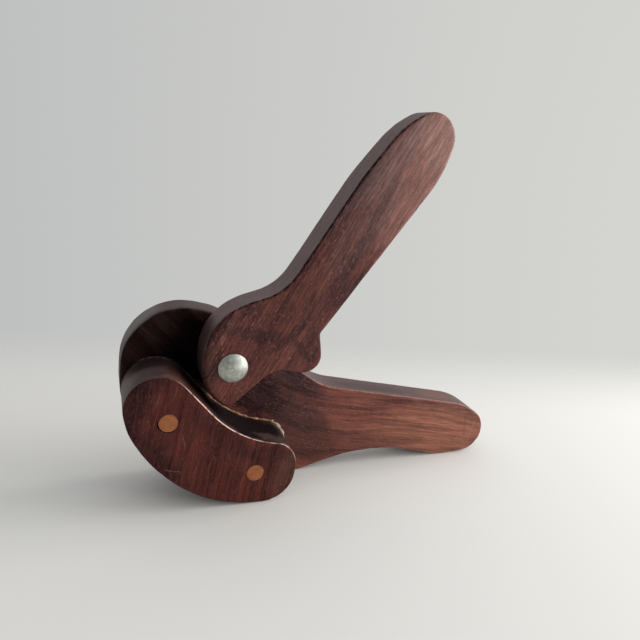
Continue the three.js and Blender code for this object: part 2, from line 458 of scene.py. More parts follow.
class Graph:
    """Makes and links the nodes of one material or of the world."""

    def __init__(self, owner):
        owner.use_nodes = True
        self.owner = owner
        self.tree = owner.node_tree
        self.tree.nodes.clear()

    def node(self, kind, inputs=None, **settings):
        made = self.tree.nodes.new(kind)
        for key, value in settings.items():
            setattr(made, key, value)
        for key, value in (inputs or {}).items():
            self.put(made.inputs[key], value)
        return made

    def put(self, socket, value):
        if isinstance(value, bpy.types.NodeSocket):
            self.tree.links.new(value, socket)
        else:
            socket.default_value = value

    def math(self, operation, *values):
        inputs = dict(enumerate(values))
        return self.node("ShaderNodeMath", inputs, operation=operation).outputs[0]

    def vector(self, operation, *values):
        inputs = dict(enumerate(values))
        made = self.node("ShaderNodeVectorMath", inputs, operation=operation)
        return made.outputs["Value" if operation in ("LENGTH", "DOT_PRODUCT") else "Vector"]

    def coordinates(self, kind):
        return self.node("ShaderNodeTexCoord").outputs[kind]

    def part(self, vector, axis):
        return self.node("ShaderNodeSeparateXYZ", {0: vector}).outputs[axis]

    def noise(self, place, size, detail=2.0, rough=0.5, offset=(0, 0, 0)):
        """Noise whose features are about size millimetres along each axis."""
        share = tuple(1 / length for length in size)
        scaled = self.vector("MULTIPLY_ADD", place, share, offset)
        inputs = {"Vector": scaled, "Scale": 1.0, "Detail": detail, "Roughness": rough}
        return self.node("ShaderNodeTexNoise", inputs, noise_dimensions="3D").outputs["Fac"]

    def noise_line(self, value, size, detail=2.0, rough=0.5):
        """Noise along one number, with features about size millimetres apart."""
        inputs = {"W": self.math("DIVIDE", value, size), "Scale": 1.0, "Detail": detail,
                  "Roughness": rough}
        return self.node("ShaderNodeTexNoise", inputs, noise_dimensions="1D").outputs["Fac"]

    def step(self, value, low, high, out_low=0.0, out_high=1.0):
        """A smooth step from low to high, clamped."""
        inputs = {"Value": value, "From Min": low, "From Max": high, "To Min": out_low,
                  "To Max": out_high}
        made = self.node("ShaderNodeMapRange", inputs, interpolation_type="SMOOTHSTEP")
        return made.outputs[0]

    def mix(self, factor, first, second):
        inputs = {0: factor, 6: first, 7: second}
        return self.node("ShaderNodeMix", inputs, data_type="RGBA").outputs[2]

    def shaded(self, inputs):
        """The material, once its shader has these inputs."""
        shader = self.node("ShaderNodeBsdfPrincipled", inputs)
        self.node("ShaderNodeOutputMaterial", {"Surface": shader.outputs[0]})
        return self.owner

    def bumped(self, colour, roughness, height, strength, depth, specular=0.5, metallic=0.0):
        """The material, with a bump of the given strength and depth."""
        bump = self.node("ShaderNodeBump", {
            "Height": height, "Strength": strength, "Distance": depth})
        return self.shaded({
            "Base Color": colour, "Roughness": roughness, "Normal": bump.outputs[0],
            "Specular IOR Level": specular, "Metallic": metallic})


def new_graph(name):
    return Graph(bpy.data.materials.new(name))


def millimetres_from(graph, origin):
    """An object's own coordinates in millimetres from an origin."""
    return graph.node("ShaderNodeMapping", {
        "Vector": graph.coordinates("Object"), "Location": origin, "Scale": (MM, MM, MM),
    }, vector_type="TEXTURE").outputs[0]


def rivet_place(graph, front):
    """Millimetres from the rivet's axis and from a piece's front face."""
    return millimetres_from(graph, (PIVOT.x, front, PIVOT.z))


def turned_place(graph, place, tilt, centre=(0, 0, 0), size=(1, 1, 1)):
    """Place seen from a centre, with x along a direction tilted above +X, divided by size."""
    return graph.node("ShaderNodeMapping", {
        "Vector": place, "Location": centre, "Rotation": (0, -math.radians(tilt), 0),
        "Scale": size,
    }, vector_type="TEXTURE").outputs[0]


def patch_mask(graph, place, patch):
    """1 inside a soft, ragged ellipsoid and 0 outside it."""
    x, y, z, tilt, half_length, half_width, half_depth, ragged = patch
    local = turned_place(graph, place, tilt, (x, y, z), (half_length, half_depth, half_width))
    reach = graph.vector("LENGTH", local)
    if ragged:
        wander = graph.noise(place, (7, 7, 7), 5.0, 0.65, offset=(x, 0, z))
        reach = graph.math("MULTIPLY_ADD", graph.math("SUBTRACT", wander, 0.5), ragged, reach)
    return graph.step(reach, 1.25, 0.55)


def painted(graph, place, colour, patches, where=1.0):
    """Lays each patch's tone over a colour."""
    for patch_tone, strength, shape in patches:
        mask = graph.math("MULTIPLY", patch_mask(graph, place, shape), strength)
        mask = graph.math("MULTIPLY", mask, where)
        colour = graph.mix(mask, colour, patch_tone)
    return colour


def bent(graph, grain, start, rate):
    """Grain coordinates that sink to the left of start, so that the grain climbs there."""
    past = graph.math("MAXIMUM", graph.math("SUBTRACT", start, graph.part(grain, "X")), 0.0)
    drop = graph.math("MULTIPLY", graph.math("MULTIPLY", past, past), -0.5 * rate)
    return graph.vector("ADD", grain, graph.node("ShaderNodeCombineXYZ", {"Z": drop}).outputs[0])


def rosewood(name, front, grain_tilt, pith, tones, patches, marks, side_marks, seed, band, figure,
             edge, flecks, specks, contrast=1.0, streak=1.0, bend=None):
    """Oiled rosewood.

    grain_tilt is the grain's direction above +X, in degrees, and pith the y and z of the tree's
    heart in grain coordinates. tones are (dark band, ground, light band, edge across the
    thickness). patches lie under the fibres, marks on top of them, and side_marks on the edges
    across the thickness, each (tone, strength, (x, y, z, tilt, half length, half width, half
    depth, raggedness)) in millimetres from the rivet's axis and the front face.

    band is the width of the colour bands in millimetres and figure how far they wander. edge is
    (strength, tone) of the painted light and shade along the rounded edges. flecks and specks are
    the strengths of the pale pores, partly dust and partly painted glints, and of the pale dust.
    contrast scales the fibres and dark pores, and streak stretches the fibres. bend is where the
    grain starts to climb to the left, and how quickly.
    """
    graph = new_graph(name)
    place = rivet_place(graph, front)
    grain = turned_place(graph, place, grain_tilt)
    if bend:
        grain = bent(graph, grain, *bend)
    shift = (seed, seed * 0.7, seed * 1.3)

    # Growth layers: rings round a far pith, pushed about by slow and fast waves.
    slow = graph.noise(grain, (95, 45, 40), 2.0, 0.5, offset=shift)
    fast = graph.noise(grain, (18, 7, 6), 2.0, 0.5, offset=shift)
    from_pith = graph.vector("SUBTRACT", grain, (0, *pith))
    layer = graph.vector("LENGTH", graph.vector("MULTIPLY", from_pith, (0, 1, 1)))
    layer = graph.math("MULTIPLY_ADD", slow, 14.0 * figure, layer)
    layer = graph.math("MULTIPLY_ADD", fast, 1.6 * figure, layer)
    bands = graph.noise_line(layer, band, 3.0, 0.6)
    lines = graph.noise_line(layer, 0.9, 2.0, 0.7)

    # Finer figure along the grain.
    broken = graph.noise(grain, (22 * streak, 1.7, 1.7), 4.0, 0.6, offset=shift)
    fibres = graph.noise(grain, (12 * streak, 0.5, 0.5), 4.0, 0.7, offset=shift)
    threads = graph.noise(grain, (20 * streak, 0.42, 0.42), 2.0, 0.5, offset=(3 + seed, 9, 2))
    mottle = graph.noise(grain, (20, 8, 8), 5.0, 0.65, offset=shift)
    grit = graph.noise(place, (0.55, 0.55, 0.55), 2.0, 0.6, offset=shift)
    dark_pores = graph.noise(grain, (3.6, 0.4, 0.4), 2.0, 0.5, offset=shift)
    light_pores = graph.noise(grain, (2.6, 0.4, 0.4), 2.0, 0.5, offset=(7 + seed, 3, 5))

    dark, middle, light, side = tones
    colour = graph.mix(graph.step(bands, 0.34, 0.54), dark, middle)
    colour = graph.mix(graph.step(bands, 0.52, 0.72), colour, light)
    colour = graph.mix(graph.step(mottle, 0.52, 0.72, 0.0, 0.55), colour, dark)
    colour = graph.mix(graph.step(mottle, 0.48, 0.3, 0.0, 0.45), colour, light)
    colour = painted(graph, place, colour, patches)

    # The edges across the board's thickness are painted duller and greyer than its faces: partly
    # their duller side grain, partly a painted reflection of the pale room.
    facing = graph.math("ABSOLUTE", graph.part(graph.coordinates("Normal"), "Y"))
    on_side = graph.step(facing, 0.75, 0.25)
    across = graph.math("MULTIPLY", on_side, 0.85)
    colour = graph.mix(across, colour, side)

    # Fibres darken and lighten the wood, less on those edges.
    shade = graph.math("MULTIPLY", graph.step(lines, 0.3, 0.7, 0.8, 1.2),
                       graph.step(fibres, 0.28, 0.72, 0.74, 1.28))
    for fleck, low, high, darkest, lightest in (
        (broken, 0.3, 0.7, 0.8, 1.2), (threads, 0.34, 0.66, 0.84, 1.18),
        (grit, 0.3, 0.7, 0.86, 1.14),
    ):
        shade = graph.math("MULTIPLY", shade, graph.step(fleck, low, high, darkest, lightest))
    strength = graph.math("MULTIPLY_ADD", across, -0.55 * contrast, contrast)
    shade = graph.math("MULTIPLY_ADD", graph.math("SUBTRACT", shade, 1.0), strength, 1.0)
    shades = graph.node("ShaderNodeCombineXYZ", {"X": shade, "Y": shade, "Z": shade})
    colour = graph.vector("MULTIPLY", colour, shades.outputs[0])

    # Open pores, dark ones and pale ones that are partly dust and partly painted glints off the
    # pore edges, and pale grit.
    crowded = graph.step(mottle, 0.35, 0.65, 0.3, 1.0)
    pores = graph.math("MULTIPLY", graph.step(dark_pores, 0.6, 0.7), crowded)
    dust_and_glints = graph.math("MULTIPLY", graph.step(light_pores, 0.58, 0.7), crowded)
    gritty = graph.math("MULTIPLY", graph.step(grit, 0.64, 0.74),
                        graph.math("ADD", crowded, across))
    for mask, amount, fleck_tone in (
        (pores, 0.5 * contrast, PORE_TONE), (dust_and_glints, flecks, FLECK_TONE),
        (gritty, specks, SPECK_TONE),
    ):
        colour = graph.mix(graph.math("MULTIPLY", mask, amount), colour, fleck_tone)

    # Painted highlight and shade along the rounded edges, patchy along their length.
    painted_edge = graph.node("ShaderNodeAttribute", attribute_name="painted_edge").outputs["Fac"]
    edge_patchiness = graph.noise(place, (2.4, 2.4, 2.4), 5.0, 0.7, offset=shift)
    painted_edge = graph.math("MULTIPLY", graph.step(painted_edge, 0.15, 0.9),
                      graph.step(edge_patchiness, 0.38, 0.56, 0.15, 1.0))
    edge_strength, edge_tone = edge
    colour = graph.mix(graph.math("MULTIPLY", painted_edge, edge_strength), colour, edge_tone)
    colour = painted(graph, place, colour, marks)
    colour = painted(graph, place, colour, side_marks, on_side)

    # Roughness and bumps, and a shine that fades in the darkest wood.
    roughness = graph.math("MULTIPLY_ADD", fibres, 0.16, 0.36)
    roughness = graph.math("MULTIPLY_ADD", dust_and_glints, 0.2, roughness)
    roughness = graph.math("MULTIPLY_ADD", across, 0.12, roughness)
    height = graph.math("MULTIPLY_ADD", pores, -0.8, graph.math("MULTIPLY", fibres, 0.7))
    height = graph.math("MULTIPLY_ADD", grit, 0.4, height)
    height = graph.math("MULTIPLY_ADD", lines, 0.2, height)
    bright = graph.vector("DOT_PRODUCT", colour, (0.3, 0.6, 0.1))
    return graph.bumped(colour, roughness, height, 0.35, 0.12 * MM,
                        specular=graph.step(bright, 0.0, 0.03, 0.0, 0.2))


def dowel_end_grain(name, centre, seed):
    """Pale orange end grain with open pores and hardly any growth rings."""
    graph = new_graph(name)
    place = millimetres_from(graph, (centre[0], 0, centre[1]))
    from_pith = graph.vector("SUBTRACT", place, (9, 0, 14))
    layer = graph.vector("LENGTH", graph.vector("MULTIPLY", from_pith, (1, 0, 1)))
    rings = graph.noise_line(layer, 0.9, 2.0, 0.6)
    dots = graph.noise(place, (0.4, 4, 0.4), 3.0, 0.65, offset=(seed, seed, seed))
    blotch = graph.noise(place, (3, 8, 3), 3.0, 0.6, offset=(seed, seed, seed))
    colour = graph.mix(graph.step(rings, 0.3, 0.7), tone(146, 86, 50), tone(158, 96, 58))
    for pattern, low, high, amount, fleck_tone in (
        (blotch, 0.42, 0.68, 0.6, tone(136, 76, 42)), (dots, 0.52, 0.68, 0.5, tone(104, 58, 36)),
        (dots, 0.46, 0.32, 0.4, tone(188, 126, 84)),
    ):
        mask = graph.math("MULTIPLY", graph.step(pattern, low, high), amount)
        colour = graph.mix(mask, colour, fleck_tone)
    roughness = graph.math("MULTIPLY_ADD", dots, 0.2, 0.5)
    return graph.bumped(colour, roughness, dots, 0.4, 0.08 * MM, specular=0.25)


def satin_metal(name, colour_low, colour_high, rough):
    """Satin aluminium with a dull, mottled bloom and fine scratches."""
    graph = new_graph(name)
    place = rivet_place(graph, LEVER_FRONT)
    cloud = graph.noise(place, (2.6, 2.6, 2.6), 5.0, 0.65)
    grit = graph.noise(place, (0.35, 0.35, 0.35), 2.0, 0.6)
    scratches = graph.noise(turned_place(graph, place, 35), (6.0, 0.25, 0.25), 2.0, 0.5)
    scored = graph.step(scratches, 0.62, 0.74)
    colour = graph.mix(graph.step(cloud, 0.35, 0.65), colour_low, colour_high)
    colour = graph.mix(graph.math("MULTIPLY", scored, 0.3), colour, tone(130, 130, 128))
    roughness = graph.math("MULTIPLY_ADD", cloud, 0.2, rough)
    roughness = graph.math("MULTIPLY_ADD", grit, 0.08, roughness)
    height = graph.math("MULTIPLY_ADD", scored, -0.5, grit)
    height = graph.math("MULTIPLY_ADD", cloud, 1.5, height)
    return graph.bumped(colour, roughness, height, 0.25, 0.07 * MM, metallic=1.0)


def dried_glue():
    """Squeezed-out glue: grey-brown at the left, then dark with painted shade, amber, and pale at
    the right.
    """
    graph = new_graph("dried_glue")
    place = rivet_place(graph, BOARD_FRONT)
    lumps = graph.noise(place, (1.1, 1.1, 1.1), 4.0, 0.65)
    along = graph.part(place, "X")
    colour = graph.mix(graph.step(lumps, 0.35, 0.65), tone(110, 74, 52), tone(186, 142, 104))
    # The dark stretch in the middle is painted shade.
    for start, end, amount, glue_tone in (
        (-4, -14, 0.92, tone(34, 22, 20)), (-27, -33, 0.9, tone(92, 86, 76)),
        (28, 36, 0.85, tone(168, 158, 150)),
    ):
        colour = graph.mix(graph.step(along, start, end, 0.0, amount), colour, glue_tone)
    roughness = graph.math("MULTIPLY_ADD", lumps, 0.3, 0.4)
    return graph.bumped(colour, roughness, lumps, 0.6, 0.2 * MM, specular=0.3)


# --------------------
# The pieces
# --------------------

def finish_piece(piece, material, body, node):
    """Puts a visual piece on a body, in place of a CAD node."""
    piece.data.materials.append(material)
    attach(piece, body)
    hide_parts(node)


def from_axis(outline):
    """An outline's x and z in millimetres from the rivet's axis."""
    return ((outline - AXIS) / MM).T


def between(low, high, share):
    """Low where share is 0 and high where it is 1."""
    return low + (high - low) * share


AXIS = np.array([PIVOT.x, PIVOT.z])
UPPER = centre_of("upper_dowel")
LOWER = centre_of("lower_dowel")
DOWEL_RADIUS = radius_of("upper_dowel")
PIN_RADIUS = DOWEL_RADIUS - PIN_SHRINK
rivet_bore = (AXIS, BORE_RADIUS)
dowel_holes = [
    (UPPER + UPPER_HOLE_SHIFT, DOWEL_RADIUS + UPPER_HOLE_GROWTH),
    (LOWER, PIN_RADIUS + PIN_CLEARANCE),
]

board_outline = fair_curve(cad_outline("base_board"), OUTLINE_STEP)
jaw_outline = fair_curve(cad_outline("jaw_block"), OUTLINE_STEP)
lever_outline = fair_curve(cad_outline("lever"), OUTLINE_STEP)
board_x, board_z = from_axis(board_outline)
jaw_x, jaw_z = from_axis(jaw_outline)
lever_x, lever_z = from_axis(lever_outline)

# Painted edge light: a highlight along the handle's top edge and the jaw's crest and hollow,
# and painted shade along the lever's upper edge.
board_edge_highlight = between(0.12, 1, smooth_step(board_x, 25, 60))
on_crest = smooth_step(jaw_x, -34, -12) * smooth_step(jaw_z, -58, -46)
jaw_edge_highlight = between(0.12, 1, on_crest * between(1, 0.55, smooth_step(jaw_x, 0, 14)))
on_upper_edge = smooth_step(lever_z - 1.7 * lever_x, -30, -10) * smooth_step(lever_x, -14, 2)
lever_edge_shade = between(0.2, 1, on_upper_edge)

# Rounded more than the rest: the back edge of the board's rear head and of the lever's tip,
# and the front edge of the lever's head.
on_rear_head = smooth_step(board_z - board_x, 0, 40)
on_lever_head = smooth_step(-lever_x, 0, 10)
on_lever_tip = smooth_step(lever_z, 92, 128)
board_round = uneven(BOARD_ROUND, board_outline, 3)
board_back_round = uneven(between(BOARD_ROUND, HEAD_BACK_ROUND, on_rear_head), board_outline, 5)
jaw_round = uneven(JAW_ROUND, jaw_outline, 7)
lever_round = uneven(between(LEVER_ROUND, LEVER_HEAD_ROUND, on_lever_head), lever_outline, 9)
lever_back_round = between(LEVER_ROUND, LEVER_TIP_BACK_ROUND, on_lever_tip)

board = sawn_piece(
    "base_board_wood", board_outline, BOARD_FRONT, BOARD_BACK,
    shared_round(board_outline, jaw_outline, board_round), board_back_round,
    holes=dowel_holes + [rivet_bore], painted_edge_share=board_edge_highlight, dents=9, seed=31,
)
jaw = sawn_piece(
    "jaw_block_wood", jaw_outline, JAW_FRONT, BOARD_FRONT, jaw_round,
    np.full(len(jaw_outline), SEAM_ROUND), holes=dowel_holes, painted_edge_share=jaw_edge_highlight, dents=12, seed=32,
)
lever = sawn_piece(
    "lever_wood", lever_outline, LEVER_FRONT, LEVER_BACK, lever_round,
    uneven(lever_back_round, lever_outline, 11), holes=[rivet_bore], painted_edge_share=lever_edge_shade, dents=7,
    seed=33,
)

# Tones are (dark band, ground, light band, edge across the thickness).
# The edge tones are grey partly as a painted reflection of the pale room.
BOARD_TONES = (tone(74, 36, 33), tone(112, 63, 52), tone(136, 80, 64), tone(85, 74, 74))
JAW_TONES = (tone(60, 22, 18), tone(76, 28, 22), tone(88, 36, 28), tone(80, 67, 66))
LEVER_TONES = (tone(64, 31, 30), tone(90, 47, 41), tone(112, 64, 55), tone(121, 104, 103))

# The handle pales toward its tip and darkens beside the jaw, partly its own tone and partly
# painted light from the right. The board's face between the jaw and the lever is painted
# dark: painted shade.
BOARD_PATCHES = [
    # Paler toward the tip: partly the wood's own tone, partly painted light.
    (tone(156, 102, 80), 0.5, (140, 0, -58, -8, 46, 20, 60, 0.6)),
    # Darker beside the jaw: partly the wood's own tone, partly painted shade.
    (tone(62, 32, 29), 0.68, (50, 0, -54, -20, 25, 15, 60, 1.2)),
    # Painted shade in the hollow between the jaw and the lever.
    (tone(30, 16, 20), 0.9, (14, 0, -21, -32, 32, 16, 7, 1.2)),
    (tone(42, 23, 28), 0.6, (46, 0, -20, -34, 17, 7, 8, 1.2)),
    (tone(46, 27, 30), 0.8, (38, 0, -14, -34, 17, 6.5, 8, 1.0)),
    (tone(48, 27, 29), 0.65, (47, 0, -41, -26, 19, 9, 10, 1.4)),
    (tone(134, 80, 67), 0.4, (82, 0, -33, -12, 26, 4.5, 8, 1.0)),
    (tone(84, 46, 42), 0.5, (110, 0, -49.5, -11, 25, 2.2, 8, 1.0)),
    (tone(78, 45, 40), 0.4, (128, 0, -55, -9, 30, 1.2, 8, 1.0)),
    (tone(84, 48, 43), 0.55, (100, 0, -63, -3, 36, 5, 60, 1.0)),
]
BOARD_MARKS = [
    # Painted shade: the board's head, behind and round the lever's head, is painted nearly black.
    (tone(12, 8, 10), 0.9, (-34, 0, 6, 20, 32, 36, 5, 0.6)),
    (tone(2, 2, 3), 0.8, (-14, 0, 0, 60, 28, 20, 5, 0.5)),
    (tone(20, 10, 12), 0.8, (58.2, 0, -61.7, 56, 2.9, 0.3, 3, 0.2)),
    (SCRATCH_TONE, 0.35, (58.8, 0, -61.6, 56, 2.4, 0.24, 3, 0.2)),
    (tone(84, 52, 44), 0.25, (163, 0, -57, 96, 9, 1.0, 3, 1.4)),
    (tone(180, 130, 110), 0.14, (169.5, 0, -58, 80, 8, 0.7, 3, 1.4)),
]
BOARD_SIDES = [
    # Painted reflection: the rim of the board's head is painted pale grey.
    (tone(140, 136, 136), 0.5, (-45, 13, 18, 50, 24, 8, 12, 0.6)),
    (tone(134, 88, 64), 0.34, (142, 10, -38, -10, 14, 5, 8, 0.9)),
    (tone(46, 34, 36), 0.38, (96, 8, -28, -10, 30, 5, 5, 1.2)),
]

# The jaw block darkens toward its edges. Its hollow top under the lever is painted nearly
# black as painted shade, with a painted reflection at its left end and a painted highlight on
# its crest.
JAW_PATCHES = [
    (tone(68, 44, 37), 0.3, (32, 0, -60, 75, 20, 8, 40, 1.8)),
    (tone(96, 66, 52), 0.25, (30, 0, -57, 70, 12, 5, 40, 2.6)),
    (tone(38, 18, 21), 0.7, (-44, 0, -43, -52, 32, 13, 40, 1.2)),
    (tone(40, 19, 21), 0.75, (-49, 0, -10, 66, 22, 11, 40, 1.2)),
    (tone(40, 20, 22), 0.5, (-40, 0, -3, 8, 13, 6, 40, 1.2)),
    (tone(42, 21, 23), 0.45, (-2, 0, -36, -42, 28, 5, 40, 1.2)),
    (tone(44, 22, 24), 0.45, (20, 0, -47, -14, 16, 5, 40, 1.2)),
]
JAW_MARKS = [
    (SCRATCH_TONE, 0.3, (-23.6, 0, -35.6, 100, 4.8, 0.22, 3, 0.2)),
    (SCRATCH_TONE, 0.24, (-8, 0, -46.2, 114, 2.4, 0.18, 3, 0)),
    (SCRATCH_TONE, 0.34, (-30.8, 0, -50.7, -20, 2.2, 0.3, 3, 0.4)),
    (SCRATCH_TONE, 0.3, (-27.2, 0, -51.6, -4, 1.8, 0.26, 3, 0.4)),
    (tone(124, 88, 64), 0.3, (-36.5, 0, -12.6, 72, 5, 0.3, 3, 0.5)),
    (tone(124, 88, 64), 0.24, (-28.6, 0, -10, 66, 4, 0.3, 3, 0.5)),
    (tone(124, 88, 64), 0.2, (-33, 0, -16, 76, 4, 0.25, 3, 0.5)),
]
JAW_SIDES = [
    # Painted reflection: the left end of the jaw's top is painted grey.
    (tone(116, 104, 102), 0.5, (-52, 10, -16, 80, 16, 8, 12, 0.8)),
    # Painted shade: the jaw's top, under the lever, is painted dark down to nearly black.
    (tone(10, 5, 7), 0.9, (10, 14, -34, -22, 34, 18, 18, 0.7)),
    (tone(12, 6, 8), 0.92, (-16, 16, -14, -50, 20, 9, 14, 0.8)),
    (tone(22, 13, 15), 0.72, (-42, 20, 0, 0, 15, 8, 7, 1.0)),
    (tone(58, 28, 24), 0.68, (-24, 8, -9, -42, 16, 8, 14, 0.8)),
    # Painted highlight on the crest of the jaw's left hump.
    (tone(134, 84, 62), 0.27, (-31, 3, -1.5, -28, 8, 1.4, 2.4, 1.8)),
    (tone(126, 88, 76), 0.26, (22, 6, -40, -12, 8, 3, 4, 2.4)),
]

# The lever pales toward its tip, partly its own tone and partly a painted sheen, with dark
# streaks along its neck and over its head, and painted shade along its upper edge and the
# left edge of its head.
LEVER_PATCHES = [
    # Paler toward the tip: partly the wood's own tone, partly a painted sheen.
    (tone(150, 106, 96), 0.58, (98, 0, 104, 57, 54, 21, 60, 0.9)),
    (tone(180, 144, 136), 0.28, (105, 0, 127, 57, 26, 22, 60, 0.9)),
    (tone(124, 100, 98), 0.4, (74, 0, 106, 54, 28, 7, 60, 1.0)),
    (tone(84, 66, 66), 0.35, (62, 0, 72, 56, 30, 10, 60, 1.0)),
    # Painted shade along the upper edge.
    (tone(60, 44, 47), 0.55, (52, 0, 84, 54, 24, 4.5, 60, 1.0)),
    (tone(56, 36, 40), 0.45, (70, 0, 82, 66, 30, 2.6, 60, 0.9)),
    (tone(54, 33, 37), 0.5, (51, 0, 44, 56, 26, 3.6, 60, 1.1)),
    (tone(48, 29, 31), 0.55, (57, 0, 39, 52, 15, 5, 60, 0.8)),
    (tone(38, 22, 25), 0.6, (10, 0, 17, -10, 18, 4, 60, 1.6)),
    (tone(40, 26, 30), 0.5, (1, 0, 27, 33, 14, 3.5, 8, 1.0)),
    # Painted shade along the left edge of the head.
    (tone(44, 22, 21), 0.65, (-11.5, 0, 8, 86, 24, 5.5, 8, 0.6)),
    (tone(108, 56, 47), 0.4, (0, 0, -12, 58, 12, 8, 60, 1.2)),
    (tone(38, 21, 24), 0.6, (29, 0, 16, 42, 13, 3, 60, 1.4)),
    (tone(42, 24, 27), 0.5, (37, 0, 29, 74, 11, 2.5, 60, 1.4)),
    (tone(48, 29, 31), 0.5, (42, 0, 11, 80, 10, 4, 60, 1.2)),
]
LEVER_MARKS = [
    (tone(34, 20, 23), 0.5, (36, 0, 8, -50, 8, 2.4, 5, 1.6)),
]
LEVER_SIDES = [
    # Painted shade on the side round the left of the head.
    (tone(44, 19, 18), 0.78, (-15, 9, 4, 90, 26, 9, 30, 0.5)),
    (tone(32, 19, 20), 0.51, (6, 9, -22, -30, 14, 6, 30, 0.5)),
]

# edge lays a painted highlight along the board's and the jaw's rounded edges, and painted shade
# along the lever's.
board_wood = rosewood(
    "rosewood_board", BOARD_FRONT, -10, (95, -70), BOARD_TONES, BOARD_PATCHES, BOARD_MARKS,
    BOARD_SIDES, 3.0, band=5.0, figure=0.6, edge=(0.6, tone(160, 112, 98)), flecks=0.34,
    specks=0.5, contrast=0.95, bend=(90, 0.0055))
jaw_wood = rosewood(
    "rosewood_jaw", JAW_FRONT, 80, (-90, 60), JAW_TONES, JAW_PATCHES, JAW_MARKS,
    JAW_SIDES, 11.0, band=5.0, figure=0.5, edge=(1.0, tone(236, 192, 176)), flecks=0.2,
    specks=0.14, contrast=0.85, streak=0.6)
lever_wood = rosewood(
    "rosewood_lever", LEVER_FRONT, 63, (110, -80), LEVER_TONES, LEVER_PATCHES, LEVER_MARKS,
    LEVER_SIDES, 7.0, band=6.0, figure=0.5, edge=(0.95, tone(26, 14, 16)), flecks=0.58,
    specks=0.2, streak=0.5)
finish_piece(board, board_wood, "base", "base_board")
finish_piece(jaw, jaw_wood, "base", "jaw_block")
finish_piece(lever, lever_wood, "lever", "lever")

# --------------------
# The glue squeezed out above the jaw block
# --------------------

GLUE_SIDES = 10
GLUE_RADIUS = 0.32 * MM
GLUE_FLATNESS = 1.5
GLUE_LEFT, GLUE_RIGHT, GLUE_LOWEST = -47, 39, -56
GLUE_FACING = -0.2
GLUE_WAVE = 2.2 * MM
GLUE_WAVE_STRENGTH = 1.7
GLUE_THINNEST = 0.2
GLUE_LIFT = 0.25 * MM
GLUE_LIFT_WAVE = 0.3 * MM
GLUE_TAPER_START = 0.15
GLUE_TAPER_STEPS = 6


def glue_bead():
    """A thin uneven bead in the corner between the board's front and the jaw block's top."""
    normals = outward(jaw_outline)
    on_top = (normals[:, 1] > GLUE_FACING) & (jaw_z > GLUE_LOWEST)
    on_top &= (jaw_x > GLUE_LEFT) & (jaw_x < GLUE_RIGHT)
    start = int(np.nonzero(on_top & ~np.roll(on_top, 1))[0][0])
    count = int(on_top.sum())
    run = [(start + i) % len(jaw_outline) for i in range(count)]
    thickness = 1 + 0.9 * smooth_step(jaw_x, 24, 33) - 0.5 * smooth_step(-jaw_x, 14, 30)
    vertices, faces = [], []
    for step, i in enumerate(run):
        x, z = jaw_outline[i]
        taper = min(1.0, GLUE_TAPER_START + min(step, count - 1 - step) / GLUE_TAPER_STEPS)
        swell = 1 + GLUE_WAVE_STRENGTH * noise.noise(Vector((x, 0, z)) / GLUE_WAVE)
        radius = GLUE_RADIUS * thickness[i] * taper * max(GLUE_THINNEST, swell)
        wander = noise.noise(Vector((x, 4 * MM, z)) / GLUE_WAVE)
        centre = jaw_outline[i] + normals[i] * (GLUE_LIFT + GLUE_LIFT_WAVE * wander)
        for side in range(GLUE_SIDES):
            angle = 2 * math.pi * side / GLUE_SIDES
            place = centre + normals[i] * radius * GLUE_FLATNESS * math.cos(angle)
            vertices.append(Vector((place[0], BOARD_FRONT + radius * math.sin(angle), place[1])))
    last = (count - 1) * GLUE_SIDES
    for first in range(0, last, GLUE_SIDES):
        for a, b in next_pairs(first, GLUE_SIDES):
            faces.append((a, b, b + GLUE_SIDES, a + GLUE_SIDES))
    faces.append(tuple(range(GLUE_SIDES - 1, -1, -1)))
    faces.append(tuple(range(last, last + GLUE_SIDES)))
    return new_piece("glue_bead", vertices, faces)


glue = glue_bead()
glue.data.materials.append(dried_glue())
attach(glue, "base")

# --------------------
# Dowels, rivet and washers
# --------------------

CENTRE_SHARE = 0.02
PIN_SUNK = 0.1 * MM
PIN_CROWN = 0.1 * MM
PIN_STEPS = 14
PIN_RIPPLE = 0.05 * MM
PIP_RADIUS = 0.62 * MM
HEAD_RADIUS = radius_of("pivot_rivet")
HEAD_RIM = 0.45 * MM
HEAD_STEPS = 26
TAIL_RADIUS = 5.0 * MM
TAIL_RIM = 0.55 * MM
TAIL_STEPS = 12
SHANK_STEPS = 10
METAL_EASE = 0.2 * MM
RIVET_RIPPLE = 0.03 * MM
WASHER_RADIUS = radius_of("rear_washer")
WASHER_BORE = SHANK_RADIUS + 0.15 * MM
WASHER_BEVEL = 0.25 * MM
WASHER_FLAT = 1.2 * MM
WASHER_STEPS = 4


def pin_profile(front, back):
    """A sanded dowel: a slightly crowned front end, straight sides and a flat back end."""
    eased = PIN_RADIUS * 0.985
    end = front + PIN_SUNK
    profile = [
        (PIN_RADIUS * share, end + PIN_CROWN * share**6)
        for share in (CENTRE_SHARE, 0.25, 0.5, 0.75, 0.92)
    ]
    profile += [(eased, end + 0.12 * MM), (PIN_RADIUS, end + 0.3 * MM)]
    profile += [(PIN_RADIUS, y) for y in np.linspace(front + 2 * MM, back - 2 * MM, PIN_STEPS)]
    profile += [(PIN_RADIUS, back - 0.25 * MM), (eased, back - 0.1 * MM)]
    profile += [
        (PIN_RADIUS * share, back - 0.04 * MM) for share in (0.75, 0.5, 0.25, CENTRE_SHARE)
    ]
    return profile


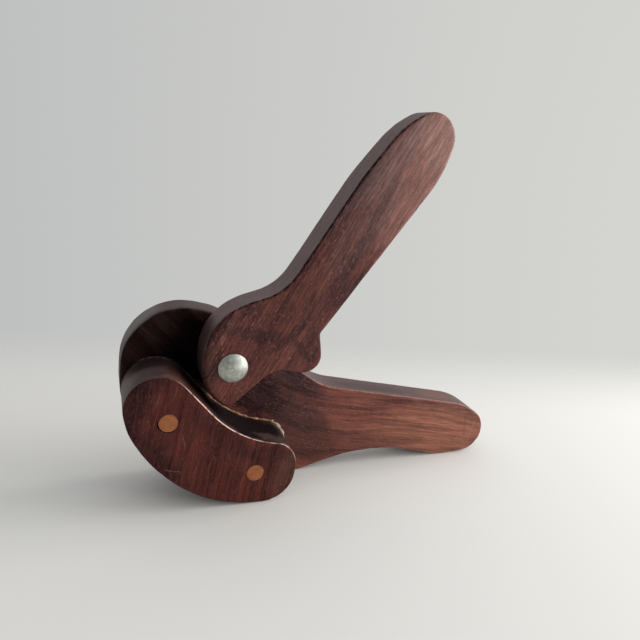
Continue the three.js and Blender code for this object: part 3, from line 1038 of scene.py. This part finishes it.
def rivet_profile():
    """The domed head with its centre pip, the shank, and the tail over the rear washer."""
    seat = LEVER_FRONT - SWING_CLEARANCE
    rim = seat - HEAD_RIM
    tail_rim = WASHER_BACK + TAIL_RIM
    pip = [(0.05 * MM, 0.22 * MM), (0.35 * MM, 0.2 * MM), (PIP_RADIUS, 0.02 * MM)]
    profile = [(radius, RIVET_TOP + depth) for radius, depth in pip]
    crown = dome(HEAD_RADIUS, rim, RIVET_TOP, HEAD_STEPS)
    profile += [point for point in crown if point[0] > PIP_RADIUS]
    profile += [
        (HEAD_RADIUS - 0.1 * METAL_EASE, rim + 0.22 * MM), (HEAD_RADIUS - METAL_EASE, seat),
        (SHANK_RADIUS + METAL_EASE, seat), (SHANK_RADIUS, seat + 0.3 * MM),
    ]
    shank_start = LEVER_FRONT + 2 * MM
    profile += [(SHANK_RADIUS, y) for y in np.linspace(shank_start, BOARD_BACK, SHANK_STEPS)]
    profile += [
        (SHANK_RADIUS, WASHER_BACK), (TAIL_RADIUS - METAL_EASE, WASHER_BACK),
        (TAIL_RADIUS, WASHER_BACK + METAL_EASE),
    ]
    return profile + dome(TAIL_RADIUS, tail_rim, RIVET_TAIL, TAIL_STEPS)[::-1]


def washer_profile(front, back):
    """A flat ring with small bevels."""
    bevel = min(WASHER_BEVEL, 0.3 * (back - front))
    bore, rim = WASHER_BORE, WASHER_RADIUS
    flat = np.linspace(bore + WASHER_FLAT, rim - WASHER_FLAT, WASHER_STEPS)
    profile = [(bore, front + bevel), (bore + bevel, front)]
    profile += [(radius, front) for radius in flat]
    profile += [
        (rim - bevel, front), (rim, front + bevel), (rim, back - bevel), (rim - bevel, back),
    ]
    profile += [(radius, back) for radius in flat[::-1]]
    return profile + [(bore + bevel, back), (bore, back - bevel)]


for node, centre in (("upper_dowel", UPPER), ("lower_dowel", LOWER)):
    low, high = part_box(node)
    pin = turned(node + "_pin", centre, pin_profile(low.y, high.y), ripple=PIN_RIPPLE)
    material = dowel_end_grain("dowel_" + node, centre, 2.0 + centre[0] * 50)
    finish_piece(pin, material, "base", node)

rivet = turned("pivot_rivet_turned", AXIS, rivet_profile(), ripple=RIVET_RIPPLE)
rivet_metal = satin_metal("rivet_aluminium", tone(160, 164, 155), tone(192, 195, 187), 0.4)
finish_piece(rivet, rivet_metal, "base", "pivot_rivet")

washer_metal = satin_metal("washer_aluminium", tone(150, 150, 147), tone(176, 176, 173), 0.32)
for node, front, back in (
    ("rear_washer", BOARD_BACK, WASHER_BACK),
    ("spacer_washer", LEVER_BACK + SWING_CLEARANCE, BOARD_FRONT),
):
    ring = turned(node + "_ring", AXIS, washer_profile(front, back), is_ring=True)
    finish_piece(ring, washer_metal, "base", node)

# --------------------
# Camera, floor and light
# --------------------

CAMERA_PLACE = (-0.12259, -0.2722, 0.18435)
CAMERA_TURN = (73.0, -5.905, -20.469)
CAMERA_LENS = 31.5
CAMERA_SENSOR = 36

# The floor fades out beyond a distance, and sooner toward the back.
FLOOR_TONE = tone(232, 231, 227)
FLOOR_RADIUS = 3.0
FLOOR_RINGS = 12
FLOOR_SIDES = 72
FADE_START = 0.3
FADE_LENGTH = 0.8
BACK_DIRECTION = (0.21, 0.977, 0.0)
BACK_START = 0.07
BACK_LENGTH = 0.17

# The room's light, and what each direction adds to it: (axis, from, to, amount).
ROOM_BASE = 0.18
ROOM_TONE = (0.98, 0.99, 1.0, 1)
ROOM_ADDED = (("Y", -0.15, 0.55, 0.30), ("Z", 0.25, 0.95, 0.35), ("X", 0.0, 0.9, 0.20))
# The backdrop is painted lighter toward the right: painted light from the window on that side.
BACKDROP_SHADED_LEFT = tone(188, 190, 190)
BACKDROP_LIT_RIGHT = tone(212, 212, 208)
BACKDROP_SPAN = (-0.25, 0.75)

# Windows: (name, power, place, size).
WINDOWS = (
    ("window", 22.0, (1.4, -0.18, 0.58), (1.1, 1.0)),
    ("pane", 5.0, (0.85, -0.62, 0.2), (0.3, 0.3)),
)
WINDOW_TONE = (1.0, 0.99, 0.97)
WINDOW_TARGET = Vector((0, 0, 0.05))


def make_camera():
    """The camera, and colours shown as they are."""
    data = bpy.data.cameras.new("camera")
    data.lens = CAMERA_LENS
    data.sensor_width = CAMERA_SENSOR
    camera = bpy.data.objects.new("camera", data)
    camera.location = CAMERA_PLACE
    camera.rotation_euler = [math.radians(angle) for angle in CAMERA_TURN]
    bpy.context.scene.collection.objects.link(camera)
    bpy.context.scene.camera = camera
    bpy.context.scene.view_settings.view_transform = "Standard"


def make_floor():
    """A pale round floor that fades into the backdrop with distance."""
    points, faces = [(0, 0, 0)], []
    for ring in range(1, FLOOR_RINGS + 1):
        radius = FLOOR_RADIUS * ring / FLOOR_RINGS
        for i in range(FLOOR_SIDES):
            angle = 2 * math.pi * i / FLOOR_SIDES
            points.append((radius * math.cos(angle), radius * math.sin(angle), 0))
    for first, second in next_pairs(1, FLOOR_SIDES):
        faces.append((0, first, second))
        for ring in range(FLOOR_RINGS - 1):
            a, b = first + ring * FLOOR_SIDES, second + ring * FLOOR_SIDES
            faces.append((a, a + FLOOR_SIDES, b + FLOOR_SIDES, b))
    mesh = bpy.data.meshes.new("floor")
    mesh.from_pydata(points, [], faces)
    floor = bpy.data.objects.new("floor", mesh)
    bpy.context.scene.collection.objects.link(floor)
    graph = new_graph("pale_floor")
    place = graph.coordinates("Object")
    out = graph.math("SUBTRACT", graph.vector("LENGTH", place), FADE_START)
    back = graph.math("SUBTRACT", graph.vector("DOT_PRODUCT", place, BACK_DIRECTION), BACK_START)
    reach = graph.math("MAXIMUM", graph.math("DIVIDE", out, FADE_LENGTH),
                       graph.math("DIVIDE", back, BACK_LENGTH))
    mesh.materials.append(graph.shaded({
        "Base Color": FLOOR_TONE, "Roughness": 0.8, "Specular IOR Level": 0.15,
        "Alpha": graph.step(reach, 1.0, 0.0)}))


def make_window(name, power, place, size):
    """A soft rectangular light that faces the object."""
    window = bpy.data.lights.new(name, "AREA")
    window.shape = "RECTANGLE"
    window.size, window.size_y = size
    window.energy = power
    window.color = WINDOW_TONE
    light = bpy.data.objects.new(name, window)
    light.location = place
    toward = WINDOW_TARGET - Vector(place)
    light.rotation_euler = toward.to_track_quat("-Z", "Y").to_euler()
    bpy.context.scene.collection.objects.link(light)


def make_room():
    """Pale walls and ceiling, dimmer in front and on the left, behind a backdrop painted lighter
    toward the right.
    """
    world = bpy.data.worlds.new("room")
    bpy.context.scene.world = world
    graph = Graph(world)
    direction = graph.coordinates("Generated")
    total = ROOM_BASE
    for axis, low, high, amount in ROOM_ADDED:
        added = graph.step(graph.part(direction, axis), low, high, 0.0, amount)
        total = graph.math("ADD", total, added)
    across = graph.node("ShaderNodeMapRange", {
        "Value": graph.part(direction, "X"), "From Min": BACKDROP_SPAN[0],
        "From Max": BACKDROP_SPAN[1]}).outputs[0]
    wall = graph.mix(across, BACKDROP_SHADED_LEFT, BACKDROP_LIT_RIGHT)
    room = graph.node("ShaderNodeBackground", {"Color": ROOM_TONE, "Strength": total})
    backdrop = graph.node("ShaderNodeBackground", {"Color": wall})
    seen = graph.node("ShaderNodeLightPath").outputs["Is Camera Ray"]
    choice = graph.node("ShaderNodeMixShader", {
        0: seen, 1: room.outputs[0], 2: backdrop.outputs[0]})
    graph.node("ShaderNodeOutputWorld", {"Surface": choice.outputs[0]})


make_camera()
make_floor()
for window in WINDOWS:
    make_window(*window)
make_room()
